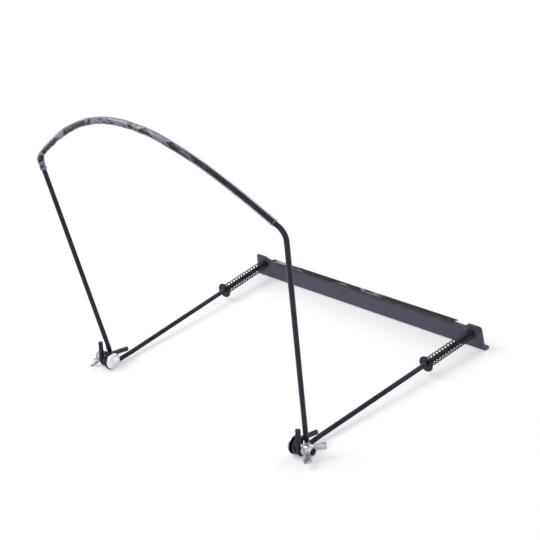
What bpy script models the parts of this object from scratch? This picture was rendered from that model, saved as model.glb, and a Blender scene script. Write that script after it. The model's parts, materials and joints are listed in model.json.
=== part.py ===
"""Neck-worn harmonica holder: bent-wire yoke and arms, wing-nut hinges and a sprung harmonica clamp.

The model is laid out in the arms' own frame and then leaned until it stands on the table.
In that frame X runs along the hinge axis, the arms run along +Y, the legs stand up along +Z,
and the origin is the middle of the hinge axis, the line through both bolts.
"""
import math

import bmesh
import bpy
from mathutils import Matrix, Vector

MM = 0.001

# Clearance between pieces that touch on the real object
GAP = 0.3 * MM

# Steel rod of the yoke and the arms
ROD_RADIUS = 2.0 * MM
ROD_SIDES_LEVEL = 3

# Hinge hardware, M5
BOLT_RADIUS = 2.5 * MM
BOLT_HEAD_RADIUS = 6.75 * MM
BOLT_HEAD_RIM = 0.7 * MM
BOLT_HEAD_DOME = 2.4 * MM
BOLT_END_RECESS = 1.0 * MM
BOLT_END_CHAMFER = 0.5 * MM
EDGE_BREAK = 0.15 * MM
INNER_WASHER_RADIUS = 7.5 * MM
INNER_WASHER_THICKNESS = 1.2 * MM
OUTER_WASHER_RADIUS = 5.0 * MM
OUTER_WASHER_THICKNESS = 1.0 * MM
NUT_BASE_RADIUS = 5.3 * MM
NUT_TOP_RADIUS = 4.3 * MM
NUT_HEIGHT = 6.2 * MM
NUT_COLLAR_HEIGHT = 2.17 * MM
NUT_COLLAR_RADIUS = 4.982 * MM
NUT_TOP_EDGE_HEIGHT = 0.434 * MM
NUT_TOP_EDGE_WIDTH = 0.4 * MM
WING_REACH = 10.2 * MM
WING_RISE = 10.6 * MM
WING_WIDTH = 6.4 * MM
WING_THICKNESS = 2.2 * MM
WING_FLARE = math.radians(47)
WING_CORNER = 1.3 * MM
WING_ROOT_LIFT = 0.6 * MM
LEFT_WING_TURN = math.radians(30)
RIGHT_WING_TURN = math.radians(7)

# Where the arms' hooks lie along the hinge axis, and the open tails of the hooks
HINGE_HALF_WIDTH = 110.0 * MM
HOOK_STEPS = 14
LEG_TAIL_LENGTH = 16.5 * MM
LEG_TAIL_CLOSE = math.radians(9)
ARM_TAIL_LENGTH = 18.5 * MM
ARM_TAIL_CLOSE = math.radians(13)

# Yoke: legs, shoulder bends and neck arch
LEG_HEIGHT = 182.2 * MM
LEG_LEAN = math.radians(2.4)
LEG_SPLAY_START = 8.0 * MM
SHOULDER_HALF_WIDTH = 135.8 * MM
SHOULDER_BEND_RADIUS = 11.0 * MM
SHOULDER_STEPS = 8
ARCH_RISE = 58.0 * MM
ARCH_TILT = math.radians(11.2)
ARCH_FLATTEN = 0.19
ARCH_STEPS = 42
ARCH_RUN_OUT = 0.9

# Clear tube on the arch
SLEEVE_RADIUS = 3.0 * MM
SLEEVE_WALL = 0.55 * MM
SLEEVE_LEFT_RUN = 4.0 * MM
SLEEVE_RIGHT_END = 128.0 * MM

# Arms, stop discs and springs
ARM_SPLAY_START = 22.0 * MM
ARM_END_HALF_WIDTH = 119.2 * MM
STOP_DISTANCE = 139.0 * MM
STOP_RADIUS = 6.75 * MM
STOP_THICKNESS = 1.4 * MM
STOP_EDGE_BREAK = 0.3 * MM
SPRING_OUTER_RADIUS = 4.6 * MM
SPRING_WIRE_RADIUS = 0.5 * MM
SPRING_OPEN_TURNS = 14.5
SPRING_END_PITCH = 1.6 * MM
SPRING_POINTS_PER_TURN = 10
SPRING_SELF_GAP = 0.4 * MM

# Clamp plates, bent from sheet
SHEET = 1.2 * MM
BEND_RADIUS = 0.9 * MM
BEND_STEPS = 4
CLAMP_DISTANCE = 194.6 * MM
CLAMP_TRAVEL = 32.0 * MM
ROD_HEIGHT_IN_PLATE = 14.25 * MM
PLATE_TOP_MARGIN = 9.6 * MM
PLATE_FOOT_MARGIN = 11.4 * MM
PLATE_EAR_HEIGHT = 22.0 * MM
PLATE_MIDDLE_HEIGHT = 18.4 * MM
PLATE_EAR_CORNER = 2.6 * MM
EAR_INNER_MARGIN = 2.7 * MM
EAR_SLOPE_RUN = 5.0 * MM
FLANGE_DEPTH = 7.6 * MM
FLANGE_CORNER = 2.4 * MM
ROD_HOLE_RADIUS = 2.3 * MM
FIXED_MARGIN = 6.8 * MM
FIXED_FOOT = 2.2 * MM
FIXED_EAR_HEIGHT = 18.2 * MM
FIXED_MIDDLE_HEIGHT = 16.5 * MM
FIXED_CORNER = 3.0 * MM
WELD_RADIUS = 3.1 * MM
WELD_HEIGHT = 1.5 * MM
WELD_STEP = 0.02 * MM
WELD_DOME = ((0.0, 1.0), (0.35, 0.98), (0.7, 0.75), (1.0, 0.35))

# Slit clear tube on the moving plate's top edge
EDGE_SLEEVE_RADIUS = 3.0 * MM
EDGE_SLEEVE_WALL = 0.7 * MM
EDGE_SLEEVE_LEFT_MARGIN = 11.6 * MM
EDGE_SLEEVE_RIGHT_MARGIN = 15.0 * MM
EDGE_SLEEVE_STEPS = 14

ROUND_SIDES = 28
SMALL_SIDES = 20

# Places that follow from the sizes above
HOOK_RADIUS = BOLT_RADIUS + GAP + ROD_RADIUS
LEG_PLANE = HINGE_HALF_WIDTH + 2 * ROD_RADIUS + GAP
INNER_WASHER_FACE = HINGE_HALF_WIDTH - ROD_RADIUS - GAP
BOLT_HEAD_FACE = INNER_WASHER_FACE - INNER_WASHER_THICKNESS - GAP
OUTER_WASHER_FACE = LEG_PLANE + ROD_RADIUS + GAP
NUT_FACE = OUTER_WASHER_FACE + OUTER_WASHER_THICKNESS + GAP
PLATE_FOOT = -HOOK_RADIUS - ROD_HEIGHT_IN_PLATE
PLATE_TOP_HALF_WIDTH = ARM_END_HALF_WIDTH + PLATE_TOP_MARGIN
PLATE_FOOT_HALF_WIDTH = ARM_END_HALF_WIDTH + PLATE_FOOT_MARGIN
EAR_INNER_EDGE = ARM_END_HALF_WIDTH - EAR_INNER_MARGIN
FIXED_HALF_WIDTH = ARM_END_HALF_WIDTH + FIXED_MARGIN
EDGE_SLEEVE_LEFT = EDGE_SLEEVE_LEFT_MARGIN - ARM_END_HALF_WIDTH
EDGE_SLEEVE_RIGHT = ARM_END_HALF_WIDTH - EDGE_SLEEVE_RIGHT_MARGIN
SIDES = {"left": -1, "right": 1}


def clear_scene():
    for item in list(bpy.data.objects):
        bpy.data.objects.remove(item, do_unlink=True)


def make_material(name, colour, roughness, metallic, alpha=1.0):
    material = bpy.data.materials.new(name)
    material.use_nodes = True
    shader = material.node_tree.nodes["Principled BSDF"]
    shader.inputs["Base Color"].default_value = (*colour, 1.0)
    shader.inputs["Roughness"].default_value = roughness
    shader.inputs["Metallic"].default_value = metallic
    shader.inputs["Alpha"].default_value = alpha
    return material


def make_empty(name, parent=None, location=(0, 0, 0)):
    empty = bpy.data.objects.new(name, None)
    empty.location = location
    empty.parent = parent
    bpy.context.scene.collection.objects.link(empty)
    return empty


def place(name, data, material, parent, location=(0, 0, 0), rotation=(0, 0, 0)):
    item = bpy.data.objects.new(name, data)
    item.location = location
    item.rotation_euler = rotation
    item.parent = parent
    data.materials.append(material)
    bpy.context.scene.collection.objects.link(item)
    return item


def finish_mesh(name, bm):
    bmesh.ops.remove_doubles(bm, verts=bm.verts, dist=1e-7)
    bmesh.ops.recalc_face_normals(bm, faces=bm.faces)
    mesh = bpy.data.meshes.new(name)
    bm.to_mesh(mesh)
    bm.free()
    mesh.shade_smooth()
    mesh.set_sharp_from_angle(angle=math.radians(35))
    return mesh


def extrude_by(bm, face, way):
    """Extrude a face into a solid along a vector."""
    made = bmesh.ops.extrude_face_region(bm, geom=[face])
    moved = [item for item in made["geom"] if isinstance(item, bmesh.types.BMVert)]
    bmesh.ops.translate(bm, verts=moved, vec=way)


def cutter(item):
    item.hide_render = True
    item.display_type = "WIRE"


def boolean(item, tool, operation):
    modifier = item.modifiers.new(tool.name, "BOOLEAN")
    modifier.object = tool
    modifier.operation = operation
    cutter(tool)


def wire_curve(name, points, radius, level, radii=None, caps=True):
    """A round wire along a list of points."""
    curve = bpy.data.curves.new(name, "CURVE")
    curve.dimensions = "3D"
    curve.bevel_depth = radius
    curve.bevel_resolution = level
    curve.use_fill_caps = caps
    spline = curve.splines.new("POLY")
    spline.points.add(len(points) - 1)
    for index, point in enumerate(points):
        spline.points[index].co = (*point, 1.0)
        spline.points[index].radius = radii[index] if radii else 1.0
        spline.points[index].tilt = 0.0
    spline.use_smooth = True
    return curve


def turned(name, profile, sides):
    """A solid of revolution about X from (along, radius) points."""
    bm = bmesh.new()
    verts = [bm.verts.new((along, 0, radius)) for along, radius in profile]
    closed = profile[0][1] > 0
    pairs = list(zip(verts, verts[1:]))
    if closed:
        pairs.append((verts[-1], verts[0]))
    edges = [bm.edges.new(pair) for pair in pairs]
    bmesh.ops.spin(bm, geom=verts + edges, cent=(0, 0, 0), axis=(1, 0, 0), angle=math.tau,
                   steps=sides, use_merge=True)
    return finish_mesh(name, bm)


def ring_profile(start, end, bore, outer, edge=EDGE_BREAK):
    """A flat ring with a small edge break, from start to end along X."""
    return [(start, bore), (start, outer - edge), (start + edge, outer),
            (end - edge, outer), (end, outer - edge), (end, bore)]


def arc(centre, radius, start, end, steps):
    """Points of an arc in a plane, as (first, second) pairs, angles in radians."""
    return [(centre[0] + radius * math.cos(start + (end - start) * step / steps),
             centre[1] + radius * math.sin(start + (end - start) * step / steps))
            for step in range(steps + 1)]


def round_corner(before, corner, after, radius, steps):
    """Points of the arc that rounds the corner between two straight runs."""
    to_before = (before - corner).normalized()
    to_after = (after - corner).normalized()
    half = to_before.angle(to_after) / 2
    middle = corner + (to_before + to_after).normalized() * radius / math.sin(half)
    first = corner + to_before * radius / math.tan(half) - middle
    last = corner + to_after * radius / math.tan(half) - middle
    sweep = first.angle(last)
    axis = first.cross(last).normalized()
    return [middle + Matrix.Rotation(sweep * step / steps, 3, axis) @ first for step in range(steps + 1)]


def leg_hook(side):
    """The leg's foot, from the open tail round the bolt to where the leg begins to splay."""
    plane = side * LEG_PLANE
    start, end = LEG_LEAN, -math.pi - LEG_TAIL_CLOSE
    loop = [Vector((plane, y, z)) for y, z in arc((0, 0), HOOK_RADIUS, end, start, HOOK_STEPS)]
    tail = Vector((0, math.sin(LEG_TAIL_CLOSE), math.cos(LEG_TAIL_CLOSE))) * LEG_TAIL_LENGTH
    up = Vector((0, -math.sin(LEG_LEAN), math.cos(LEG_LEAN))) * LEG_SPLAY_START
    return [loop[0] + tail, *loop, loop[-1] + up]


def leg_y(height):
    """How far the leg's centre line lies in front of the bolt at a height."""
    return HOOK_RADIUS / math.cos(LEG_LEAN) - height * math.tan(LEG_LEAN)


def shoulder(side):
    return Vector((side * SHOULDER_HALF_WIDTH, leg_y(LEG_HEIGHT), LEG_HEIGHT))


def arch_point(share):
    """A point of the arch, share -1 at the left shoulder, 0 at the top and 1 at the right."""
    rise = ARCH_RISE * (1 - share ** 2) * (1 - ARCH_FLATTEN * share ** 2)
    base = shoulder(share / abs(share)) if share else shoulder(1)
    return Vector((share * SHOULDER_HALF_WIDTH,
                   base.y - rise * math.sin(ARCH_TILT),
                   base.z + rise * math.cos(ARCH_TILT)))


def arch_points():
    shares = [ARCH_RUN_OUT * (2 * step / ARCH_STEPS - 1) for step in range(ARCH_STEPS + 1)]
    return [arch_point(share) for share in shares]


def shoulder_bend(side):
    """The rounded bend between a leg and the arch, listed from the leg to the arch."""
    foot = leg_hook(side)[-1]
    run_in = arch_point(side * ARCH_RUN_OUT)
    return round_corner(foot, shoulder(side), run_in, SHOULDER_BEND_RADIUS, SHOULDER_STEPS)


def yoke_points():
    left = leg_hook(-1) + shoulder_bend(-1)
    right = leg_hook(1) + shoulder_bend(1)
    return left + arch_points() + list(reversed(right))


def sleeve_points():
    """The clear tube's route: a little of the left leg, the left bend and most of the arch."""
    bend = shoulder_bend(-1)
    down = (leg_hook(-1)[-1] - bend[0]).normalized()
    route = [bend[0] + down * SLEEVE_LEFT_RUN] + bend
    arch = arch_points()
    for before, point in zip(arch, arch[1:]):
        route.append(before)
        if point.x > SLEEVE_RIGHT_END:
            break
    else:
        before, point = arch[-1], shoulder(1)
        route.append(before)
    share = (SLEEVE_RIGHT_END - before.x) / (point.x - before.x)
    route.append(before.lerp(point, share))
    return route


def make_yoke(hinge, black, clear):
    place("yoke_rod", wire_curve("yoke_rod", yoke_points(), ROD_RADIUS, ROD_SIDES_LEVEL), black, hinge)
    tube = wire_curve("neck_sleeve", sleeve_points(), SLEEVE_RADIUS, ROD_SIDES_LEVEL + 1, caps=False)
    sleeve = place("neck_sleeve", tube, clear, hinge)
    wall = sleeve.modifiers.new("wall", "SOLIDIFY")
    wall.thickness = SLEEVE_WALL
    wall.offset = -1


def arm_direction(side):
    start = Vector((side * HINGE_HALF_WIDTH, ARM_SPLAY_START, -HOOK_RADIUS))
    end = Vector((side * ARM_END_HALF_WIDTH, CLAMP_DISTANCE, -HOOK_RADIUS))
    return start, (end - start).normalized()


def arm_point(side, distance):
    """A point of the arm's splayed run at a distance along Y from the hinge axis."""
    start, along = arm_direction(side)
    return start + along * (distance - start.y) / along.y


def fixed_plate_front():
    """Where the fixed plate's front face lies when the edge sleeve just meets its top edge."""
    below_centre = PLATE_MIDDLE_HEIGHT - FIXED_MIDDLE_HEIGHT
    half_chord = math.sqrt(max(EDGE_SLEEVE_RADIUS ** 2 - below_centre ** 2, 0))
    return CLAMP_DISTANCE + SHEET / 2 + max(half_chord, SHEET / 2) + GAP


def make_arm(name, side, frame, black):
    """Tail, hook, splayed run and the weld that holds the fixed plate on the rod's end."""
    plane = side * HINGE_HALF_WIDTH
    start, end = math.pi / 2 - ARM_TAIL_CLOSE, math.pi * 1.5
    loop = [Vector((plane, y, z)) for y, z in arc((0, 0), HOOK_RADIUS, start, end, HOOK_STEPS)]
    tail = Vector((0, math.cos(ARM_TAIL_CLOSE), -math.sin(ARM_TAIL_CLOSE))) * ARM_TAIL_LENGTH
    back = fixed_plate_front() + SHEET + GAP
    rod = [loop[0] + tail, *loop, arm_direction(side)[0], arm_point(side, back)]
    radii = [1.0] * len(rod)
    weld = WELD_RADIUS / ROD_RADIUS
    for height, share in WELD_DOME:
        rod.append(arm_point(side, back + WELD_STEP + height * WELD_HEIGHT))
        radii.append(weld * share)
    place(name, wire_curve(name, rod, ROD_RADIUS, ROD_SIDES_LEVEL, radii), black, frame)


def make_hinge(side_name, side, frame, black, zinc, chrome):
    """Bolt, washers and wing nut, all turned about the hinge axis and stacked along it."""
    facing = 0 if side > 0 else math.pi
    bolt_end = NUT_FACE + NUT_HEIGHT - BOLT_END_RECESS
    dome = [(BOLT_HEAD_FACE - BOLT_HEAD_RIM - BOLT_HEAD_DOME * math.cos(step * math.pi / 12),
             BOLT_HEAD_RADIUS * math.sin(step * math.pi / 12)) for step in range(7)]
    bolt = [*dome, (BOLT_HEAD_FACE, BOLT_HEAD_RADIUS), (BOLT_HEAD_FACE, BOLT_RADIUS),
            (bolt_end - BOLT_END_CHAMFER, BOLT_RADIUS), (bolt_end, BOLT_RADIUS - BOLT_END_CHAMFER),
            (bolt_end, 0)]
    place(f"{side_name}_bolt", turned(f"{side_name}_bolt", bolt, ROUND_SIDES), chrome, frame,
          rotation=(0, 0, facing))
    bore = BOLT_RADIUS + GAP
    washers = (("inner_washer", INNER_WASHER_FACE - INNER_WASHER_THICKNESS, INNER_WASHER_FACE,
                INNER_WASHER_RADIUS, black),
               ("outer_washer", OUTER_WASHER_FACE, OUTER_WASHER_FACE + OUTER_WASHER_THICKNESS,
                OUTER_WASHER_RADIUS, zinc))
    for kind, start, end, radius, material in washers:
        name = f"{side_name}_{kind}"
        mesh = turned(name, ring_profile(start, end, bore, radius), ROUND_SIDES)
        place(name, mesh, material, frame, rotation=(0, 0, facing))


def wing_outline():
    """One wing in the (radius, height) plane, a flared tab with rounded outer corners."""
    along = Vector((math.cos(WING_FLARE), math.sin(WING_FLARE), 0))
    across = Vector((-along.y, along.x, 0))
    tip = Vector((WING_REACH, WING_RISE, 0))
    outer, inner = tip - across * WING_WIDTH / 2, tip + across * WING_WIDTH / 2
    wall_middle = (BOLT_RADIUS + GAP + NUT_TOP_RADIUS) / 2
    low_root = outer - along * (outer.x - wall_middle) / along.x
    low_root.y = max(low_root.y, WING_ROOT_LIFT)
    high_root = inner - along * (inner.x - wall_middle) / along.x
    high_root.y = min(high_root.y, NUT_HEIGHT - GAP)
    points = [low_root, *round_corner(low_root, outer, inner, WING_CORNER, 4),
              *round_corner(outer, inner, high_root, WING_CORNER, 4), high_root]
    return [(point.x, point.y) for point in points]


def make_wing_nut(side_name, side, frame, zinc, turn):
    """A bored conical boss with two flared wings, its origin on the bolt's axis at its base."""
    name = f"{side_name}_wing_nut"
    bore = BOLT_RADIUS + GAP
    facing = 0 if side > 0 else math.pi
    boss = [(0, bore), (0, NUT_BASE_RADIUS), (NUT_COLLAR_HEIGHT, NUT_COLLAR_RADIUS),
            (NUT_HEIGHT - NUT_TOP_EDGE_HEIGHT, NUT_TOP_RADIUS),
            (NUT_HEIGHT, NUT_TOP_RADIUS - NUT_TOP_EDGE_WIDTH), (NUT_HEIGHT, bore)]
    nut = place(name, turned(name, boss, ROUND_SIDES), zinc, frame,
                (side * NUT_FACE, 0, 0), (turn * side, 0, facing))
    for index, direction in enumerate((1, -1)):
        bm = bmesh.new()
        face = bm.faces.new([bm.verts.new((height, direction * radius, -WING_THICKNESS / 2))
                             for radius, height in wing_outline()])
        extrude_by(bm, face, (0, 0, WING_THICKNESS))
        wing = place(f"{name}_wing_{index}", finish_mesh("wing", bm), zinc, nut)
        boolean(nut, wing, "UNION")


def helix_points(start, along, length):
    """The spring's wire: a close end turn, open turns and a close end turn."""
    mean = SPRING_OUTER_RADIUS - SPRING_WIRE_RADIUS
    run = length - 2 * SPRING_WIRE_RADIUS - 2 * SPRING_END_PITCH
    side_axis = along.cross(Vector((0, 0, 1))).normalized()
    up_axis = side_axis.cross(along)
    points = []
    turns = SPRING_OPEN_TURNS + 2
    for step in range(round(turns * SPRING_POINTS_PER_TURN) + 1):
        turn = step / SPRING_POINTS_PER_TURN
        advance = SPRING_END_PITCH * (min(turn, 1) + max(turn - turns + 1, 0))
        advance += run * min(max(turn - 1, 0), SPRING_OPEN_TURNS) / SPRING_OPEN_TURNS
        angle = math.tau * turn
        around = side_axis * math.cos(angle) + up_axis * math.sin(angle)
        points.append(start + along * (SPRING_WIRE_RADIUS + advance) + around * mean)
    return points


def least_self_gap(points, wire_radius, skip):
    """The least gap between the wire and itself, for points at least skip places apart."""
    least = min((points[first] - points[second]).length
                for first in range(len(points)) for second in range(first + skip, len(points)))
    return least - 2 * wire_radius


def make_spring(name, side, frame, steel):
    stop_face = arm_point(side, STOP_DISTANCE + STOP_THICKNESS / 2 + GAP)
    plate_face = arm_point(side, CLAMP_DISTANCE - GAP)
    along = (plate_face - stop_face).normalized()
    lean = SPRING_OUTER_RADIUS * abs(along.x / along.y)
    length = (plate_face - stop_face).length - 2 * lean
    points = helix_points(stop_face + along * lean, along, length)
    gap = least_self_gap(points, SPRING_WIRE_RADIUS, SPRING_POINTS_PER_TURN // 2)
    print(f"{name}: least gap between turns {gap / MM:.2f} mm, least allowed {SPRING_SELF_GAP / MM:.2f} mm")
    place(name, wire_curve(name, points, SPRING_WIRE_RADIUS, 1), steel, frame)


def make_stop_disc(name, side, frame, black):
    centre = arm_point(side, STOP_DISTANCE)
    along = arm_direction(side)[1]
    half = STOP_THICKNESS / 2
    mesh = turned(name, ring_profile(-half, half, ROD_RADIUS + GAP, STOP_RADIUS, STOP_EDGE_BREAK),
                  ROUND_SIDES)
    heading = math.atan2(along.y, along.x)
    place(name, mesh, black, frame, centre, (0, 0, heading))


def plate_outline(foot_half, top_half, foot, ear, middle, corner):
    """A clamp plate's outline in (x, height): ears at both ends and a lower middle."""
    inner_top = Vector((EAR_INNER_EDGE, ear, 0))
    inner_low = Vector((EAR_INNER_EDGE - EAR_SLOPE_RUN, middle, 0))
    outer_top = Vector((top_half, ear, 0))
    foot_corner = Vector((foot_half, foot, 0))
    right = [foot_corner, *round_corner(foot_corner, outer_top, inner_top, corner, 5),
             *round_corner(outer_top, inner_top, inner_low, corner / 2, 2), inner_low]
    right = [(point.x, point.y) for point in right]
    return right + [(-x, height) for x, height in reversed(right)]


def rod_slot(name, centre, half_run, radius, frame):
    """A cutter for a rod hole, lengthened along X by half_run each way."""
    bm = bmesh.new()
    right = arc((half_run, 0), radius, -math.pi / 2, math.pi / 2, SMALL_SIDES // 2)
    left = arc((-half_run, 0), radius, math.pi / 2, math.pi * 1.5, SMALL_SIDES // 2)
    face = bm.faces.new([bm.verts.new((x, -3 * SHEET, z)) for x, z in right + left])
    extrude_by(bm, face, (0, 6 * SHEET, 0))
    tool = bpy.data.objects.new(name, finish_mesh(name, bm))
    tool.location = centre
    tool.parent = frame
    bpy.context.scene.collection.objects.link(tool)
    return tool


def make_moving_plate(frame, black):
    """The sprung plate: one sheet with ears, a lower middle and a foot flange behind it."""
    bm = bmesh.new()
    bend_centre = BEND_RADIUS + SHEET
    outline = plate_outline(PLATE_FOOT_HALF_WIDTH, PLATE_TOP_HALF_WIDTH, bend_centre,
                            PLATE_EAR_HEIGHT, PLATE_MIDDLE_HEIGHT, PLATE_EAR_CORNER)
    face_verts = [bm.verts.new((x, 0, height)) for x, height in outline]
    bm.faces.new(face_verts)
    row = (face_verts[0], face_verts[-1])
    for y, height in arc((bend_centre, bend_centre), bend_centre, math.pi, math.pi * 1.5, BEND_STEPS)[1:]:
        new_row = (bm.verts.new((PLATE_FOOT_HALF_WIDTH, y, height)),
                   bm.verts.new((-PLATE_FOOT_HALF_WIDTH, y, height)))
        bm.faces.new((row[0], row[1], new_row[1], new_row[0]))
        row = new_row
    near, far = Vector(row[0].co), Vector((PLATE_FOOT_HALF_WIDTH, FLANGE_DEPTH, 0))
    corner = [point.xy for point in round_corner(near, far, Vector((0, FLANGE_DEPTH, 0)), FLANGE_CORNER, 5)]
    right = [bm.verts.new((x, y, 0)) for x, y in corner]
    left = [bm.verts.new((-x, y, 0)) for x, y in reversed(corner)]
    bm.faces.new((row[0], row[1], *reversed(left), *reversed(right)))
    plate = place("moving_clamp_plate", finish_mesh("moving_clamp_plate", bm), black, frame,
                  (0, CLAMP_DISTANCE, PLATE_FOOT))
    wall = plate.modifiers.new("sheet", "SOLIDIFY")
    wall.thickness = SHEET
    wall.use_even_offset = True
    wall.offset = -1
    return plate


def cut_rod_slots(plate, frame):
    """Slots long enough for the splayed arms over the whole travel."""
    for side_name, side in SIDES.items():
        closed = arm_point(side, CLAMP_DISTANCE)
        opened = arm_point(side, CLAMP_DISTANCE - CLAMP_TRAVEL)
        half_run = abs(closed.x - opened.x) / 2
        centre = (closed + opened) / 2
        centre.y = CLAMP_DISTANCE
        tool = rod_slot(f"{side_name}_rod_slot", centre, half_run, ROD_HOLE_RADIUS, frame)
        boolean(plate, tool, "DIFFERENCE")


def make_fixed_plate(frame, black):
    bm = bmesh.new()
    front = fixed_plate_front()
    outline = plate_outline(FIXED_HALF_WIDTH, FIXED_HALF_WIDTH, FIXED_FOOT,
                            FIXED_EAR_HEIGHT, FIXED_MIDDLE_HEIGHT, FIXED_CORNER)
    face = bm.faces.new([bm.verts.new((x, 0, height)) for x, height in outline])
    extrude_by(bm, face, (0, SHEET, 0))
    plate = place("fixed_clamp_plate", finish_mesh("fixed_clamp_plate", bm), black, frame,
                  (0, front, PLATE_FOOT))
    for side_name, side in SIDES.items():
        centre = arm_point(side, front + SHEET / 2)
        tool = rod_slot(f"{side_name}_end_hole", centre, 0, ROD_HOLE_RADIUS, frame)
        boolean(plate, tool, "DIFFERENCE")


def make_edge_sleeve(frame, clear):
    """A slit tube whose bore takes the moving plate's top edge as far as the tube's centre."""
    bm = bmesh.new()
    half_slit = math.asin((SHEET / 2 + GAP) / (EDGE_SLEEVE_RADIUS - EDGE_SLEEVE_WALL))
    start, end = -math.pi / 2 + half_slit, math.pi * 1.5 - half_slit
    outer = arc((0, 0), EDGE_SLEEVE_RADIUS, start, end, EDGE_SLEEVE_STEPS)
    inner = arc((0, 0), EDGE_SLEEVE_RADIUS - EDGE_SLEEVE_WALL, end, start, EDGE_SLEEVE_STEPS)
    face = bm.faces.new([bm.verts.new((EDGE_SLEEVE_LEFT, y, z)) for y, z in outer + inner])
    extrude_by(bm, face, (EDGE_SLEEVE_RIGHT - EDGE_SLEEVE_LEFT, 0, 0))
    place("edge_sleeve", finish_mesh("edge_sleeve", bm), clear, frame,
          (0, CLAMP_DISTANCE + SHEET / 2, PLATE_FOOT + PLATE_MIDDLE_HEIGHT))


def table_lean():
    """The turn that sets the hinge washers and the moving plate's foot on one table."""
    foot_reach = CLAMP_DISTANCE + SHEET + BEND_RADIUS
    span = math.hypot(foot_reach, PLATE_FOOT)
    return math.atan2(-PLATE_FOOT, foot_reach) - math.asin(INNER_WASHER_RADIUS / span)


def stand_on_table(frame):
    """Lean the model, then put the origin under the middle of its box, on the table."""
    frame.rotation_euler = (table_lean(), 0, 0)
    bpy.context.view_layer.update()
    graph = bpy.context.evaluated_depsgraph_get()
    corners = []
    for item in bpy.context.scene.objects:
        if item.type in {"MESH", "CURVE"} and not item.hide_render:
            solid = item.evaluated_get(graph)
            corners += [solid.matrix_world @ vertex.co for vertex in solid.to_mesh().vertices]
            solid.to_mesh_clear()
    low = Vector([min(corner[axis] for corner in corners) for axis in range(3)])
    high = Vector([max(corner[axis] for corner in corners) for axis in range(3)])
    frame.location = (-(low.x + high.x) / 2, -(low.y + high.y) / 2, -low.z)
    bpy.context.view_layer.update()
    print("size in mm:", [round(length / MM, 1) for length in high - low])
    print("hinge axis through, in m:", [round(value, 6) for value in frame.location])
    print("lean in degrees:", round(math.degrees(table_lean()), 4))


def main():
    clear_scene()
    black = make_material("black_painted_steel", (0.020, 0.019, 0.026), 0.38, 0.0)
    spring_steel = make_material("black_spring_steel", (0.015, 0.015, 0.018), 0.35, 0.6)
    zinc = make_material("zinc_plated_steel", (0.56, 0.57, 0.60), 0.28, 1.0)
    chrome = make_material("chromed_steel", (0.80, 0.80, 0.82), 0.10, 1.0)
    clear = make_material("clear_pvc", (0.80, 0.79, 0.84), 0.12, 0.0, 0.4)
    frame = make_empty("arms_frame")
    hinge = make_empty("yoke_hinge", frame)
    make_yoke(hinge, black, clear)
    turns = {"left": LEFT_WING_TURN, "right": RIGHT_WING_TURN}
    for side_name, side in SIDES.items():
        make_arm(f"{side_name}_arm_rod", side, frame, black)
        make_hinge(side_name, side, frame, black, zinc, chrome)
        make_wing_nut(side_name, side, frame, zinc, turns[side_name])
        make_stop_disc(f"{side_name}_stop_disc", side, frame, black)
        make_spring(f"{side_name}_spring", side, frame, spring_steel)
    plate = make_moving_plate(frame, black)
    cut_rod_slots(plate, frame)
    make_edge_sleeve(frame, clear)
    make_fixed_plate(frame, black)
    stand_on_table(frame)


main()
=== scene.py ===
# %% [markdown]
# # A harmonica holder worn round the neck
# A bent steel yoke hangs round the neck, and two wire arms hinge on its feet with wing nuts.
# At the arms' ends a sprung plate grips the harmonica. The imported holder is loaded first,
# because its pieces already have their real shape and place, and everything below dresses them.

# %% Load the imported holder
import json
import math

import bmesh
import bpy
from mathutils import Matrix, Quaternion, Vector


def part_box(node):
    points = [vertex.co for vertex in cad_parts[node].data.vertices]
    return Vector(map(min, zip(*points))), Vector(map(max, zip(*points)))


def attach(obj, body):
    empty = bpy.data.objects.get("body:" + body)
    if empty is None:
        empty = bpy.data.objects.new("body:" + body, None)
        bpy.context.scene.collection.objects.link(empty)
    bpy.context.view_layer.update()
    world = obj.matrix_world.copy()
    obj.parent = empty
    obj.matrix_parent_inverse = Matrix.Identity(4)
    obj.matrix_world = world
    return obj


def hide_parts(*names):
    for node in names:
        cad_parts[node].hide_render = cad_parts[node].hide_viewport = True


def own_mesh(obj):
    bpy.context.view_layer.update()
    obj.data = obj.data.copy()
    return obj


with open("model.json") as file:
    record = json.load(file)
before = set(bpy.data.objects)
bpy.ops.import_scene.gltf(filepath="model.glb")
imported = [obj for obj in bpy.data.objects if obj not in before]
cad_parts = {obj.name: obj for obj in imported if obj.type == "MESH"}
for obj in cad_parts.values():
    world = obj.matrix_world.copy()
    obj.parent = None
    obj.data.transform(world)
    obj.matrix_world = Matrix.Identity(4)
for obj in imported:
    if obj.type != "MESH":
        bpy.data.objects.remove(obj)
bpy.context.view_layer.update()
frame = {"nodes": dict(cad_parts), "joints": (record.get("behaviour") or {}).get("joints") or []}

MM = 0.001

# %% [markdown]
# ## The arms' own frame
# The holder leans a little where it stands, so lengths are easiest to think of along its arms.
# The clamp slides along the arms, so its joint gives their direction, and the two bolts give the
# middle of the hinge axis. This matrix takes a point from that frame into the world.

# %% Find the hinge axis and the arms' direction
joints = {joint["name"]: joint for joint in frame["joints"]}
arm_way = -Vector(joints["clamp_slide"]["axis"]).normalized()
hinge = Vector(joints["yoke_fold"]["pos_m"])
hinge.x = (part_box("left_bolt")[0][0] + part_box("right_bolt")[1][0]) / 2
lean = math.atan2(arm_way.z, arm_way.y)
arms_frame = Matrix.Translation(hinge) @ Matrix.Rotation(lean, 4, "X")
print("the arms lean by", round(math.degrees(lean), 2), "degrees")

# %% [markdown]
# ## Camera
# The photograph's camera was worked out from the holder's own corners: a long lens, high on the
# right, with a little roll. It could be aimed at the holder by a Track To constraint, but that
# keeps a camera upright, and this one has to roll. So it is given in the arms' frame as a place
# and a turn, where the turn is an axis whose length is the angle. Its rows are the view's right,
# down and ahead directions. The small shift puts the holder where the photograph's framing has it.

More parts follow.
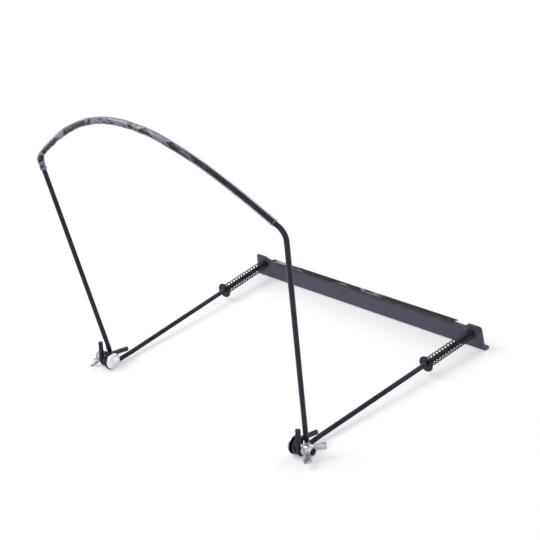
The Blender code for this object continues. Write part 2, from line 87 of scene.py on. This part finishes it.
# %% Place the camera
PHOTO_PIXELS = 540
FOCAL_PIXELS = 1322.0
FRAMING_PIXELS = 1.7
SENSOR_WIDTH = 36.0
NEAREST = 10 * MM
CAMERA_PLACE = Vector((706.8, -515.65, 561.25)) * MM
CAMERA_TURN = Vector((1.992, 0.715, -0.625))

view_turn = Quaternion(CAMERA_TURN.normalized(), CAMERA_TURN.length)
view_right, view_down, view_ahead = view_turn.to_matrix()
camera_axes = Matrix((view_right, -view_down, -view_ahead)).transposed().to_4x4()
camera_data = bpy.data.cameras.new("photo_camera")
camera_data.sensor_width = SENSOR_WIDTH
camera_data.lens = FOCAL_PIXELS / PHOTO_PIXELS * SENSOR_WIDTH
camera_data.clip_start = NEAREST
camera_data.shift_x = -FRAMING_PIXELS / PHOTO_PIXELS
camera = bpy.data.objects.new("photo_camera", camera_data)
camera.matrix_world = arms_frame @ Matrix.Translation(CAMERA_PLACE) @ camera_axes
bpy.context.scene.collection.objects.link(camera)
bpy.context.scene.camera = camera
bpy.context.scene.view_settings.view_transform = "Standard"
print("lens:", round(camera_data.lens, 1), "mm")

# %% [markdown]
# ## Colours
# A paint chart gives a colour as a hex code, which says how bright it looks. A shader adds light
# up, so it needs linear numbers. They could be typed in already turned, but a code is easier to
# compare with a real finish, so one function turns every colour in this file.


# %% Turn a hex colour into light
def linear(code):
    """Turn a hex colour such as #808080 into the linear colour that shaders use."""
    shares = [int(code[place:place + 2], 16) / 255 for place in (1, 3, 5)]
    light = [share / 12.92 if share <= 0.04045 else ((share + 0.055) / 1.055) ** 2.4 for share in shares]
    return (*light, 1.0)


print("mid grey is", [round(value, 3) for value in linear("#808080")[:3]])

# %% [markdown]
# ## Shader nodes
# A material is a small graph of nodes. One helper adds a node of any kind: an input that is another
# node's output is linked, and any other value is set. Another starts a material and hands back the
# piece's own coordinates, which stay on the piece when it moves. The third turns a real width into
# the scale that a noise wants.


# %% Define the helpers for nodes
def add(tree, kind, inputs=None, stops=None, **settings):
    """Add a node with its settings, its colour stops if it is a ramp, and its inputs."""
    made = tree.nodes.new(kind)
    for name, value in settings.items():
        setattr(made, name, value)
    for name, value in (inputs or {}).items():
        if isinstance(value, bpy.types.NodeSocket):
            tree.links.new(value, made.inputs[name])
        else:
            made.inputs[name].default_value = value
    for index, (position, colour) in enumerate(stops or ()):
        element = made.color_ramp.elements[index]
        element.position = position
        element.color = linear(colour)
    return made


def new_material(name):
    """Start a material, and return it with its tree, its shader and the piece's own coordinates."""
    material = bpy.data.materials.new(name)
    material.use_nodes = True
    tree = material.node_tree
    place = tree.nodes.new("ShaderNodeTexCoord").outputs["Object"]
    return material, tree, tree.nodes["Principled BSDF"], place


def per_mm(length):
    """Return the noise scale whose pattern repeats about once in a length in millimetres."""
    return 1 / (length * MM)


print("a 9 mm pattern has scale", round(per_mm(9), 1))

# %% [markdown]
# ## A finish whose tone drifts
# No coat is one flat colour. Its tone and gloss drift over some millimetres, and its skin has a
# finer grain that breaks up the highlights. A picture could carry both, but it would need every
# piece unwrapped. Two noises do it here. The wide one drives the colour and the roughness
# together, because what changes one on a real coat changes the other, and the fine one drives the
# bumps. Most of a noise lies between 0.3 and 0.7, so the roughness follows it over that range.

# %% Define the drifting finish
DRIFT_LOW = 0.3
DRIFT_HIGH = 0.7


def drifting_finish(name, drift, colours, roughness, grain, bump):
    """Make a material whose colour and roughness follow one noise and whose bumps follow another.

    The noises and the bumps are given as inputs of their nodes, the colours as stops of the ramp,
    and the roughness as its values at the noise's low and high end.
    """
    material, tree, shader, place = new_material(name)
    patches = add(tree, "ShaderNodeTexNoise", {"Vector": place, **drift}).outputs["Fac"]
    colour = add(tree, "ShaderNodeValToRGB", {"Fac": patches}, stops=colours)
    rough = add(tree, "ShaderNodeMapRange", {"Value": patches, "From Min": DRIFT_LOW, "From Max": DRIFT_HIGH,
                                             "To Min": roughness[0], "To Max": roughness[1]})
    skin = add(tree, "ShaderNodeTexNoise", {"Vector": place, **grain}).outputs["Fac"]
    bumps = add(tree, "ShaderNodeBump", {"Height": skin, **bump})
    tree.links.new(colour.outputs["Color"], shader.inputs["Base Color"])
    tree.links.new(rough.outputs["Result"], shader.inputs["Roughness"])
    tree.links.new(bumps.outputs["Normal"], shader.inputs["Normal"])
    return material, shader


print("the wide noise counts from", DRIFT_LOW, "to", DRIFT_HIGH)

# %% [markdown]
# ## Black powder coat on the rods and plates
# Powder coat is sprayed on dry and baked. It gives a satin black with a faint violet tint, a fine
# orange-peel ripple 0.6 to 0.8 mm across, and a tone that drifts over about 9 mm, paler and duller
# where the coat is thicker. The flat plates look paler than the rods because they mirror the bright
# surroundings, so their coat has paler tones: a painted reflection on the same black coat. Paint
# usually has an IOR near 1.5. This coat shines less than that, so its IOR was lowered until the
# rods were as dark as the real ones, and its shine has the coat's violet.

# %% Make the black powder coat
COAT_IOR = 1.38
COAT_SHINE = "#e2d8f5"
COAT_DRIFT_MM = 9
COAT_SMOOTHER = 0.06
COAT_ROUGHER = 0.08


def black_coat(name, dark, pale, roughness, ripple_mm):
    """Make a black coat from its two tones, its roughness and the width of its ripple."""
    material, shader = drifting_finish(
        name,
        drift={"Scale": per_mm(COAT_DRIFT_MM), "Detail": 6.0, "Roughness": 0.6},
        colours=((0.36, dark), (0.68, pale)),
        roughness=(roughness - COAT_SMOOTHER, roughness + COAT_ROUGHER),
        grain={"Scale": per_mm(ripple_mm), "Detail": 2.0},
        bump={"Strength": 0.25, "Distance": 0.04 * MM})
    shader.inputs["IOR"].default_value = COAT_IOR
    shader.inputs["Specular Tint"].default_value = linear(COAT_SHINE)
    return material


rod_coat = black_coat("black_powder_coat_on_rod", "#131119", "#26222f", roughness=0.30, ripple_mm=0.6)
# Painted reflection: the plates get the rods' black coat with paler tones.
plate_coat_painted_reflection = black_coat("black_powder_coat_on_sheet_painted_reflection", "#4e4a58", "#595565", roughness=0.40, ripple_mm=0.8)
print("powder coats:", rod_coat.name, plate_coat_painted_reflection.name)

# %% [markdown]
# ## Black washers and spring wire
# The washers are dipped until a thin black oxide forms. The springs are wound from hard drawn
# wire that is blackened in hot oil. Both are a deeper black than the powder coat. Their skin is too
# fine to show in the render, so it is drawn coarser than it is, at 0.5 and 0.35 mm. They differ
# from the coat only in tone, gloss and width, so the same function makes them.

# %% Make the black oxide and the blackened wire
washer_coat = black_coat("black_oxide_washer", "#0b0b0e", "#1d1c22", roughness=0.34, ripple_mm=0.5)
spring_wire = black_coat("oil_blackened_spring_wire", "#050507", "#111015", roughness=0.28, ripple_mm=0.35)
print("deeper blacks:", washer_coat.name, spring_wire.name)

# %% [markdown]
# ## Bright zinc and chrome
# The wing nuts are zinc plated: a soft silver with cloudy patches and a grainy skin. The bolt
# heads are polished and chromed, so they are sharper and more even. The bolts' threaded ends are
# cut steel, duller and darker. They could be three graphs, but all are metals whose colour is all
# in the reflection, and in each a brighter place is also smoother, so one function makes them and
# its roughness runs the other way from the coat's. Their grain is too fine to show in the render,
# so it is drawn coarser than it is, at 0.4 to 0.9 mm.

# %% Make the zinc, the chrome and the cut steel
PLATING_CLOUD_MM = 3.5
PLATING_ROUGHER = 0.08
PLATING_SMOOTHER = 0.02


def plated(name, dark, pale, roughness, grain_mm, grain_depth_mm):
    """Make a plated or cut metal from its two tones, its roughness, and its grain's width and depth."""
    material, shader = drifting_finish(
        name,
        drift={"Scale": per_mm(PLATING_CLOUD_MM), "Detail": 8.0, "Roughness": 0.65},
        colours=((0.35, dark), (0.65, pale)),
        roughness=(roughness + PLATING_ROUGHER, roughness - PLATING_SMOOTHER),
        grain={"Scale": per_mm(grain_mm), "Detail": 3.0},
        bump={"Strength": 0.4, "Distance": grain_depth_mm * MM})
    shader.inputs["Metallic"].default_value = 1.0
    return material


bright_zinc = plated("bright_zinc_plate", "#7c7f86", "#cccfd4", roughness=0.18,
                     grain_mm=0.4, grain_depth_mm=0.02)
chrome = plated("polished_chrome", "#cfd1d6", "#ececef", roughness=0.07,
                grain_mm=0.9, grain_depth_mm=0.004)
cut_thread = plated("cut_thread_end", "#26272b", "#4c4d53", roughness=0.34,
                    grain_mm=0.5, grain_depth_mm=0.02)
print("bare metals:", bright_zinc.name, chrome.name, cut_thread.name)

# %% [markdown]
# ## Air under the clear vinyl, and a painted highlight on top
# The neck tube and the clamp's edge tube are extruded clear PVC. Where the tube presses on the
# black steel it looks dark, and where air lies between them it looks milky and pale. It could be
# done with true refraction, but through so thin a wall that is slow and noisy. So a noise with
# patches of about 8 mm, stretched along the tube, decides between the two, and the tube's upper
# side is pushed towards milky and pale as a painted highlight. The tube creased at the end it was
# pushed on from, so its clouding fades along X.

# %% Find where the vinyl is milky
CREASE_MM = 8
MILKY_FROM = 0.49
MILKY_TO = 0.56
PAINTED_HIGHLIGHT_LIFT = 0.05


def air_and_painted_upper_highlight(tree, place, along_x, upward, stretch, fade_mm):
    """Return how milky the tube is, with a painted highlight along its upper side, from 0 to 1, and the
    noise that decides it.
    """
    drawn_out = add(tree, "ShaderNodeMapping", {"Vector": place, "Scale": stretch})
    creases = add(tree, "ShaderNodeTexNoise", {"Vector": drawn_out.outputs["Vector"],
                                               "Scale": per_mm(CREASE_MM), "Detail": 5.0,
                                               "Roughness": 0.65, "Distortion": 0.8}).outputs["Fac"]
    # Painted highlight: the upper side of the tube is made milkier and paler.
    painted_highlight_lift = add(tree, "ShaderNodeMath", {0: upward, 1: PAINTED_HIGHLIGHT_LIFT}, operation="MULTIPLY")
    air_and_painted_highlight = add(tree, "ShaderNodeMath", {0: creases, 1: painted_highlight_lift.outputs[0]}, operation="ADD")
    milky = add(tree, "ShaderNodeMapRange", {"Value": air_and_painted_highlight.outputs[0], "From Min": MILKY_FROM,
                                             "From Max": MILKY_TO})
    fading = add(tree, "ShaderNodeMapRange", {"Value": along_x, "From Min": fade_mm[0] * MM,
                                              "From Max": fade_mm[1] * MM, "To Min": 1.0, "To Max": 0.0})
    clouding_and_painted_highlight = add(tree, "ShaderNodeMath", {0: milky.outputs["Result"], 1: fading.outputs["Result"]},
                   operation="MULTIPLY")
    return clouding_and_painted_highlight.outputs[0], creases


print("milky patches are about", CREASE_MM, "mm across before they are stretched")

# %% [markdown]
# ## The vinyl's painted rim and cut end
# Even where it is clear, the tube is drawn paler in two places: as a pale rim along its upper side
# where the eye looks along it, as glass does, which is a painted reflection, and as a thin ring where
# its wall shows at its cut end. Layer Weight finds the rim, and the upward normal keeps it to the
# upper side. The ring could be a thin piece of its own, but a band of X just before the tube's end
# looks the same.

# %% Find where the painted rim and the cut end show
PAINTED_RIM_BLEND = 0.35
RING_MM = 0.8
RING_FADE_MM = 0.3
RING_COVER = 0.6


def painted_rim_and_end_ring(tree, along_x, upward, painted_rim_cover, end_mm):
    """Return how much the painted rim on the tube's upper side and the wall at its cut end show, from 0 to
    1.
    """
    rim = add(tree, "ShaderNodeLayerWeight", {"Blend": PAINTED_RIM_BLEND}).outputs["Facing"]
    # Painted reflection: a pale rim, kept to the tube's upper side.
    painted_upper_rim = add(tree, "ShaderNodeMath", {0: rim, 1: upward}, operation="MULTIPLY")
    shown = add(tree, "ShaderNodeMath", {0: painted_upper_rim.outputs[0], 1: painted_rim_cover}, operation="MULTIPLY")
    ring = add(tree, "ShaderNodeMapRange", {"Value": along_x,
                                            "From Min": (end_mm - RING_MM - RING_FADE_MM) * MM,
                                            "From Max": (end_mm - RING_MM) * MM, "To Max": RING_COVER})
    painted_rim_and_ring = add(tree, "ShaderNodeMath", {0: shown.outputs[0], 1: ring.outputs["Result"]}, operation="MAXIMUM")
    return painted_rim_and_ring.outputs[0]


print("the cut end shows as a ring of", RING_MM, "mm")

# %% [markdown]
# ## Clear vinyl
# The two parts above decide what the tube looks like at each place. It could then be made with
# transmission, but a tube that lies on steel only hides more or less of it, and Alpha gives that
# share directly. Clear and milky places hide different shares, the painted rim and the cut end's
# ring hide more, and below a given height hardly anything is hidden. The colour turns pale with the
# milky places, the painted highlight and the painted rim. A haze about a millimetre wide varies the
# gloss.

# %% Define the clear vinyl
HAZE_MM = 1.2
FOOT_FADE_MM = 0.15
COVER_BELOW_FOOT = 0.05


def clear_vinyl(name, thin_and_painted_shade, milk, clear_cover, milky_cover, painted_rim_cover, stretch, fade_mm, end_mm,
                foot_mm, ior):
    """Make clear vinyl from its two tones, its covers, and where along the tube they hold."""
    material, tree, shader, place = new_material(name)
    along = add(tree, "ShaderNodeSeparateXYZ", {"Vector": place}).outputs
    upward = add(tree, "ShaderNodeSeparateXYZ", {"Vector": place.node.outputs["Normal"]}).outputs["Z"]
    clouding_and_painted_highlight, creases = air_and_painted_upper_highlight(tree, place, along["X"], upward, stretch, fade_mm)
    painted_rim_and_ring = painted_rim_and_end_ring(tree, along["X"], upward, painted_rim_cover, end_mm)
    filled = add(tree, "ShaderNodeMapRange", {"Value": clouding_and_painted_highlight, "To Min": clear_cover,
                                              "To Max": milky_cover})
    whole = add(tree, "ShaderNodeMath", {0: filled.outputs["Result"], 1: painted_rim_and_ring}, operation="MAXIMUM")
    above = add(tree, "ShaderNodeMapRange", {"Value": along["Z"], "From Min": (foot_mm - FOOT_FADE_MM) * MM,
                                             "From Max": (foot_mm + FOOT_FADE_MM) * MM,
                                             "To Min": COVER_BELOW_FOOT})
    cover = add(tree, "ShaderNodeMath", {0: whole.outputs[0], 1: above.outputs["Result"]},
                operation="MULTIPLY")
    pale = add(tree, "ShaderNodeMath", {0: clouding_and_painted_highlight, 1: painted_rim_and_ring}, operation="MAXIMUM")
    colour = add(tree, "ShaderNodeValToRGB", {"Fac": pale.outputs[0]}, stops=((0.1, thin_and_painted_shade), (0.6, milk)))
    haze = add(tree, "ShaderNodeTexNoise", {"Vector": place, "Scale": per_mm(HAZE_MM), "Detail": 3.0})
    rough = add(tree, "ShaderNodeMapRange", {"Value": haze.outputs["Fac"], "To Min": 0.05, "To Max": 0.25})
    bump = add(tree, "ShaderNodeBump", {"Height": creases, "Strength": 0.3, "Distance": 0.1 * MM})
    tree.links.new(colour.outputs["Color"], shader.inputs["Base Color"])
    tree.links.new(cover.outputs[0], shader.inputs["Alpha"])
    tree.links.new(rough.outputs["Result"], shader.inputs["Roughness"])
    tree.links.new(bump.outputs["Normal"], shader.inputs["Normal"])
    shader.inputs["IOR"].default_value = ior
    return material


print("the haze is about", HAZE_MM, "mm wide")

# %% [markdown]
# ## The two tubes' vinyl
# The neck tube is nearly clear where it lies on the rod, and its milky places hide most of the
# steel. The edge tube grips the sliding plate's top edge. In the photograph it is a black line above
# that edge and can hardly be seen below, so only the upper part of its height is written to show.
# Both could share one material, but the edge tube is far darker where it is clear: its upper part
# is a nearly opaque black, painted shade for the dark line along the plate's top edge, and its
# clouds are drawn out longer. Vinyl has an IOR of about 1.53. The edge tube's is lowered, as the
# real one shows no glint of its own.

# %% Make the vinyl of the neck tube and the edge tube
VINYL_IOR = 1.53
EDGE_TUBE_IOR = 1.2
PAINTED_SHADE_LINE_HEIGHT = 0.78

# Painted reflection: the neck tube gets a pale rim along its upper side.
neck_vinyl = clear_vinyl(
    "clear_vinyl_neck_tube", thin_and_painted_shade="#3b3945", milk="#898698",
    clear_cover=0.10, milky_cover=0.78, painted_rim_cover=0.9,
    stretch=(0.5, 1.0, 0.9), fade_mm=(50, 85), end_mm=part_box("neck_sleeve")[1][0] / MM,
    foot_mm=0, ior=VINYL_IOR)

# Painted shade: the edge tube's upper part is drawn nearly opaque and nearly black, in place of the shade
# along the plate's top edge.
edge_low, edge_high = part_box("edge_sleeve")
painted_shade_line = edge_low[2] + PAINTED_SHADE_LINE_HEIGHT * (edge_high[2] - edge_low[2])
edge_vinyl_with_painted_shade = clear_vinyl(
    "clear_vinyl_edge_tube_with_painted_shade", thin_and_painted_shade="#040405", milk="#8f8c9a",
    clear_cover=0.92, milky_cover=0.60, painted_rim_cover=0.0,
    stretch=(0.25, 1.0, 1.6), fade_mm=(0, 30), end_mm=edge_high[0] / MM,
    foot_mm=painted_shade_line / MM, ior=EDGE_TUBE_IOR)
print("vinyl finishes:", neck_vinyl.name, edge_vinyl_with_painted_shade.name)

# %% [markdown]
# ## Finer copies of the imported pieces
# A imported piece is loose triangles, which shade as flat facets. The pieces could be modelled again,
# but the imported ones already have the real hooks, bends and turns. So each one is copied, its
# doubles are merged, and its round stretches are shaded smooth. A piece with broken edges also has
# its flat triangles joined first, so that a small Bevel modifier meets only the real edges.

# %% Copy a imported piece, clean it and give it its finish
JOIN_WITHIN = 0.002 * MM
FLAT_WITHIN = math.radians(0.5)
SHARP_FROM = math.radians(38)
BEVEL_STEPS = 2


def clean_mesh(node, joined):
    """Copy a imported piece's mesh with its doubles merged and, if asked, its flat triangles joined."""
    bm = bmesh.new()
    bm.from_mesh(frame["nodes"][node].data)
    bmesh.ops.remove_doubles(bm, verts=bm.verts, dist=JOIN_WITHIN)
    if joined:
        bmesh.ops.dissolve_limit(bm, angle_limit=FLAT_WITHIN, verts=bm.verts, edges=bm.edges)
    mesh = bpy.data.meshes.new(f"{node}_finish")
    bm.to_mesh(mesh)
    bm.free()
    mesh.shade_smooth()
    mesh.set_sharp_from_angle(angle=SHARP_FROM)
    return mesh


def finer(node, body, material, edge_mm=0.0):
    """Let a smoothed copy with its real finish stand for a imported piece, on the piece's own body."""
    mesh = clean_mesh(node, joined=edge_mm > 0)
    mesh.materials.append(material)
    piece = bpy.data.objects.new(f"{node}_finish", mesh)
    bpy.context.scene.collection.objects.link(piece)
    if edge_mm:
        bevel = piece.modifiers.new("broken_edge", "BEVEL")
        bevel.width = edge_mm * MM
        bevel.segments = BEVEL_STEPS
        bevel.limit_method = "ANGLE"
        bevel.angle_limit = SHARP_FROM
    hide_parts(node)
    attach(piece, body)
    print(piece.name, "has", len(mesh.polygons), "faces")
    return piece


# %% [markdown]
# ## The yoke and its neck tube
# The yoke is one rod, bent at the shoulders and hooked round the bolts at its feet. The clear tube
# was pushed on from the left, so it hides the left bend and ends short of the right one. Both
# could be drawn again as curves with a round bevel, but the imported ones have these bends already.

# %% Dress the yoke
finer("yoke_rod", "yoke", rod_coat)
finer("neck_sleeve", "yoke", neck_vinyl)

# %% [markdown]
# ## The arms, stop discs and springs
# Each arm carries a washer that is fixed on it, and a compression spring between that washer and
# the sliding plate. When the plate moves back to take the harmonica the spring gets shorter. A
# spring that only moved would cut into its washer. Here each spring's copy rides on the arms and is
# given a mesh of its own, and nothing squashes it.

# %% Dress the arms and their springs
WASHER_EDGE_MM = 0.2
for side in ("left", "right"):
    finer(f"{side}_arm_rod", "arms", rod_coat)
    finer(f"{side}_stop_disc", "arms", washer_coat, edge_mm=WASHER_EDGE_MM)
    spring = finer(f"{side}_spring", "arms", spring_wire)
    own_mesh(spring)

# %% [markdown]
# ## The hinges
# From inside to outside: a polished domed head, a wide black washer, the arm's hook, the yoke's
# hook, a zinc washer and a wing nut. The nut turns by itself, so it rides on its own body. The
# bolt's cut end could be a piece of its own, but it is the same steel, so the faces near the
# bolt's outer end only take a second material.

# %% Dress the hinges
THREAD_END = 1 * MM
THIN_WASHER_EDGE_MM = 0.15
NUT_EDGE_MM = 0.35
for side in ("left", "right"):
    bolt = finer(f"{side}_bolt", "arms", chrome)
    bolt.data.materials.append(cut_thread)
    bolt_reach = max(abs(corner[0]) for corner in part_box(f"{side}_bolt"))
    for face in bolt.data.polygons:
        if abs(face.center.x) > bolt_reach - THREAD_END:
            face.material_index = 1
    finer(f"{side}_inner_washer", "arms", washer_coat, edge_mm=WASHER_EDGE_MM)
    finer(f"{side}_outer_washer", "arms", bright_zinc, edge_mm=THIN_WASHER_EDGE_MM)
    finer(f"{side}_wing_nut", f"{side}_nut", bright_zinc, edge_mm=NUT_EDGE_MM)

# %% [markdown]
# ## The clamp
# The sliding plate is folded from one sheet, with a foot that the harmonica stands on. The plate
# at the arms' ends is flat and welded on. A slit clear tube on the sliding plate's top edge
# keeps the steel off the instrument. The edges could be left sharp, but a sheet's cut edge is
# broken before it is coated, and its small bevel catches a thin line of light.

# %% Dress the clamp
SHEET_EDGE_MM = 0.25
TUBE_EDGE_MM = 0.12
finer("moving_clamp_plate", "moving_clamp", plate_coat_painted_reflection, edge_mm=SHEET_EDGE_MM)
finer("fixed_clamp_plate", "arms", plate_coat_painted_reflection, edge_mm=SHEET_EDGE_MM)
finer("edge_sleeve", "moving_clamp", edge_vinyl_with_painted_shade, edge_mm=TUBE_EDGE_MM)

# %% [markdown]
# ## A white that only the eye meets
# The photograph is a studio picture on white. Strong lamps would make the floor white, but they
# would wash out the black finishes too. So the floor gets some light of its own, and the world some
# more than it sheds, that only the camera, reflections and see-through pieces meet. The light that
# falls on the holder stays as it is, and the floor still takes a soft shadow.


# %% Find the rays that the eye follows
def seen_by_eye(tree):
    """Return a number that is 1 for camera, glossy and transmitted rays, and 0 for diffuse light."""
    ray = tree.nodes.new("ShaderNodeLightPath")
    glossy = add(tree, "ShaderNodeMath", {0: ray.outputs["Is Camera Ray"], 1: ray.outputs["Is Glossy Ray"]},
                 operation="MAXIMUM")
    every = add(tree, "ShaderNodeMath", {0: glossy.outputs[0], 1: ray.outputs["Is Transmission Ray"]},
                operation="MAXIMUM")
    return every.outputs[0]


print("helper ready:", seen_by_eye.__name__)

# %% [markdown]
# ## The floor
# The floor is one square of matt white paper. A studio sweeps its paper up behind the object, but
# a flat square with some light of its own looks as white. Lamp light thins out with distance, so
# the floor's own light rises away from the holder to keep it even.

# %% Lay the floor
WHITE = linear("#ffffff")
FLOOR_HALF_SIZE = 6.0
FLOOR_COLOUR = "#d8d8da"
FLOOR_ROUGHNESS = 0.9
NEAR_GLOW = 0.36
NEAR_RADIUS = 0.4
FAR_GLOW = 0.95
FAR_RADIUS = 1.6

floor_mesh = bpy.data.meshes.new("studio_floor")
floor_bm = bmesh.new()
bmesh.ops.create_grid(floor_bm, x_segments=1, y_segments=1, size=FLOOR_HALF_SIZE)
floor_bm.to_mesh(floor_mesh)
floor_bm.free()
floor = bpy.data.objects.new("studio_floor", floor_mesh)
bpy.context.scene.collection.objects.link(floor)
floor_paper, tree, shader, place = new_material("matt_white_paper")
shader.inputs["Base Color"].default_value = linear(FLOOR_COLOUR)
shader.inputs["Roughness"].default_value = FLOOR_ROUGHNESS
shader.inputs["Emission Color"].default_value = WHITE
reach = add(tree, "ShaderNodeVectorMath", {0: place}, operation="LENGTH")
rise = add(tree, "ShaderNodeMapRange", {"Value": reach.outputs["Value"], "From Min": NEAR_RADIUS,
                                        "From Max": FAR_RADIUS, "To Min": NEAR_GLOW, "To Max": FAR_GLOW})
glow = add(tree, "ShaderNodeMath", {0: seen_by_eye(tree), 1: rise.outputs["Result"]}, operation="MULTIPLY")
tree.links.new(glow.outputs[0], shader.inputs["Emission Strength"])
floor_mesh.materials.append(floor_paper)
print("the floor is", 2 * FLOOR_HALF_SIZE, "m wide")

# %% [markdown]
# ## The lights
# Three large softboxes stand round the holder, the strongest high on the left, with a dim white
# world between them. Small lamps would draw hard shadows of the rods, and large ones give the
# soft, faint shadows of a studio picture.

# %% Light the world and hang the lamps
WORLD_LIGHT = 0.40
WORLD_AS_SEEN = 1.0
LAMP_SIZE = 1.1
LAMP_TARGET = Vector((0, 0, 0.1))
LAMPS = {
    "key_softbox": ((-0.9, -0.5, 1.3), 15.0),
    "fill_softbox": ((1.2, -0.9, 0.8), 6.0),
    "back_softbox": ((0.2, 1.3, 1.1), 6.0),
}

world = bpy.data.worlds.new("studio")
world.use_nodes = True
bpy.context.scene.world = world
background = world.node_tree.nodes["Background"]
background.inputs["Color"].default_value = WHITE
strength = add(world.node_tree, "ShaderNodeMapRange", {"Value": seen_by_eye(world.node_tree),
                                                       "To Min": WORLD_LIGHT, "To Max": WORLD_AS_SEEN})
world.node_tree.links.new(strength.outputs["Result"], background.inputs["Strength"])

for name, (lamp_place, power) in LAMPS.items():
    lamp_data = bpy.data.lights.new(name, "AREA")
    lamp_data.size = LAMP_SIZE
    lamp_data.energy = power
    lamp = bpy.data.objects.new(name, lamp_data)
    lamp.location = lamp_place
    lamp.rotation_euler = (LAMP_TARGET - Vector(lamp_place)).to_track_quat("-Z", "Y").to_euler()
    bpy.context.scene.collection.objects.link(lamp)
    print(name, "at", lamp_place, "gives", power, "W")
